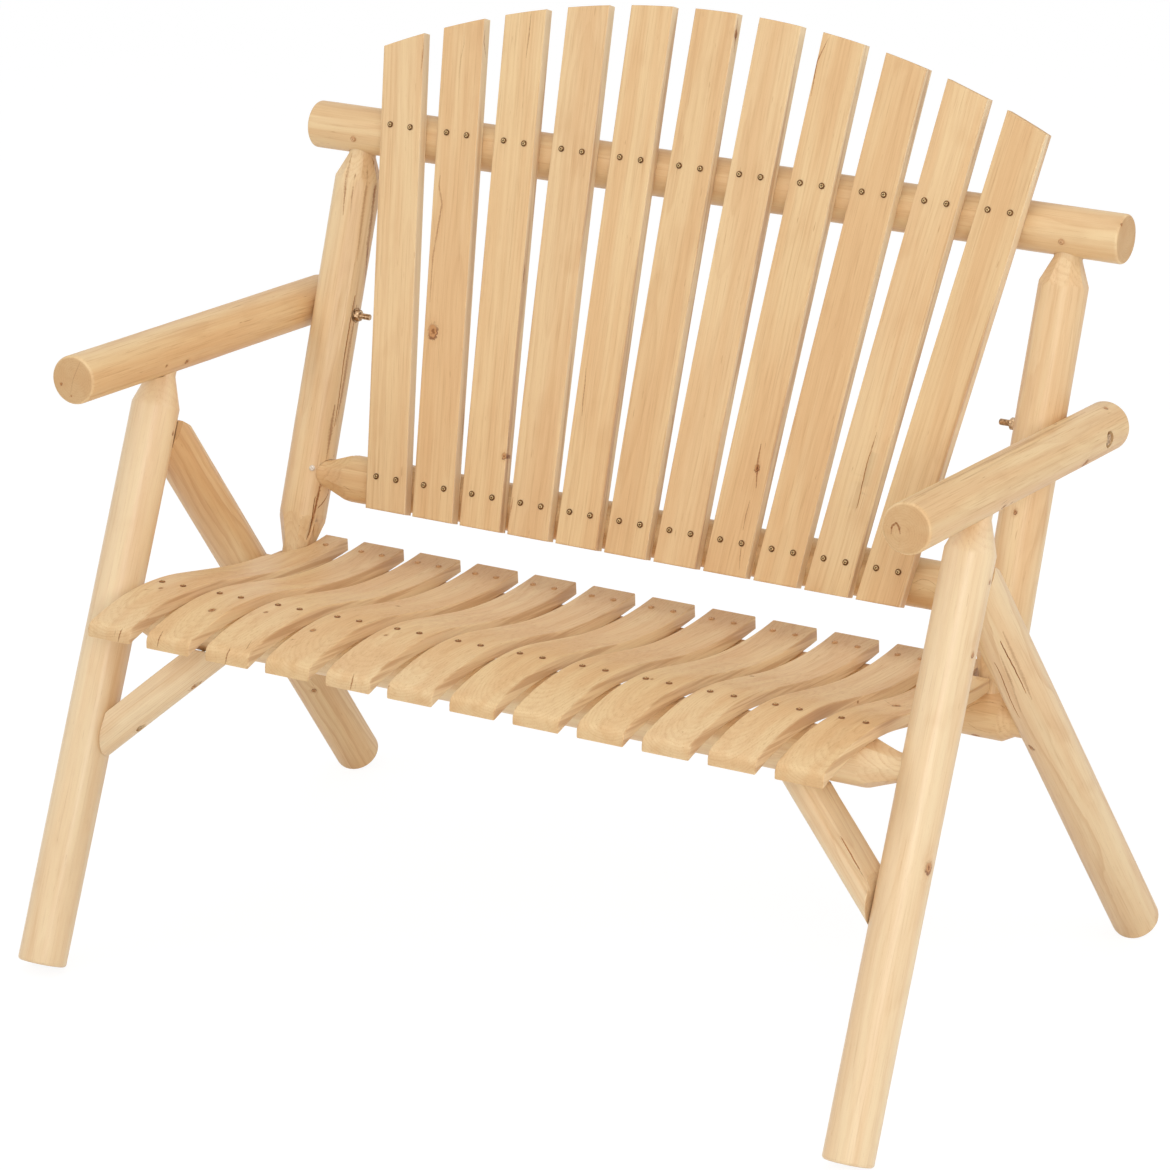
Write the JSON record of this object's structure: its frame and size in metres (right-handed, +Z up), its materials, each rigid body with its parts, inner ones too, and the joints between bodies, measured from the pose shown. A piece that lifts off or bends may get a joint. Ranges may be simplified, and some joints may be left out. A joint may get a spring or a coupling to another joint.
{
  "type": "rustic log bench",
  "caption": "Garden bench of peeled round logs with A-shaped side frames, a curved slatted seat and a high fanned slat back with an arched top.",
  "frame": {"origin": "on the floor, in the middle of the four feet", "axes": "+X along the bench to the viewer's right, +Y from front to back, +Z up"},
  "size_m": [1.1942, 0.8162, 1.1136],
  "materials": {
    "log_wood": "peeled cedar logs, clear satin",
    "slat_wood": "planed cedar boards, clear satin",
    "bronzed_steel": "dark bronze coated screws",
    "zinc_steel": "yellow zinc plated"
  },
  "bodies": {
    "root": {"arm_bolt_nuts": "zinc_steel", "arm_bolt_washers": "zinc_steel", "arm_bolts": "zinc_steel", "arm_left": "log_wood", "arm_right": "log_wood", "back_low_screws": "bronzed_steel", "back_post_left": "log_wood", "back_post_right": "log_wood", "back_slat_01": "slat_wood", "back_slat_02": "slat_wood", "back_slat_03": "slat_wood", "back_slat_04": "slat_wood", "back_slat_05": "slat_wood", "back_slat_06": "slat_wood", "back_slat_07": "slat_wood", "back_slat_08": "slat_wood", "back_slat_09": "slat_wood", "back_slat_10": "slat_wood", "back_slat_11": "slat_wood", "back_top_screws": "bronzed_steel", "brace_screws": "bronzed_steel", "front_brace_left": "log_wood", "front_brace_right": "log_wood", "front_leg_left": "log_wood", "front_leg_right": "log_wood", "front_seat_rail": "log_wood", "low_rail_lock_screws": "bronzed_steel", "lower_back_rail": "log_wood", "rear_leg_left": "log_wood", "rear_leg_right": "log_wood", "rear_seat_rail": "log_wood", "seat_front_screws": "bronzed_steel", "seat_rear_screws": "bronzed_steel", "seat_slat_01": "slat_wood", "seat_slat_02": "slat_wood", "seat_slat_03": "slat_wood", "seat_slat_04": "slat_wood", "seat_slat_05": "slat_wood", "seat_slat_06": "slat_wood", "seat_slat_07": "slat_wood", "seat_slat_08": "slat_wood", "seat_slat_09": "slat_wood", "seat_slat_10": "slat_wood", "seat_slat_11": "slat_wood", "seat_slat_12": "slat_wood", "top_rail": "log_wood", "top_rail_lock_screws": "bronzed_steel"}
  },
  "joints": []
}
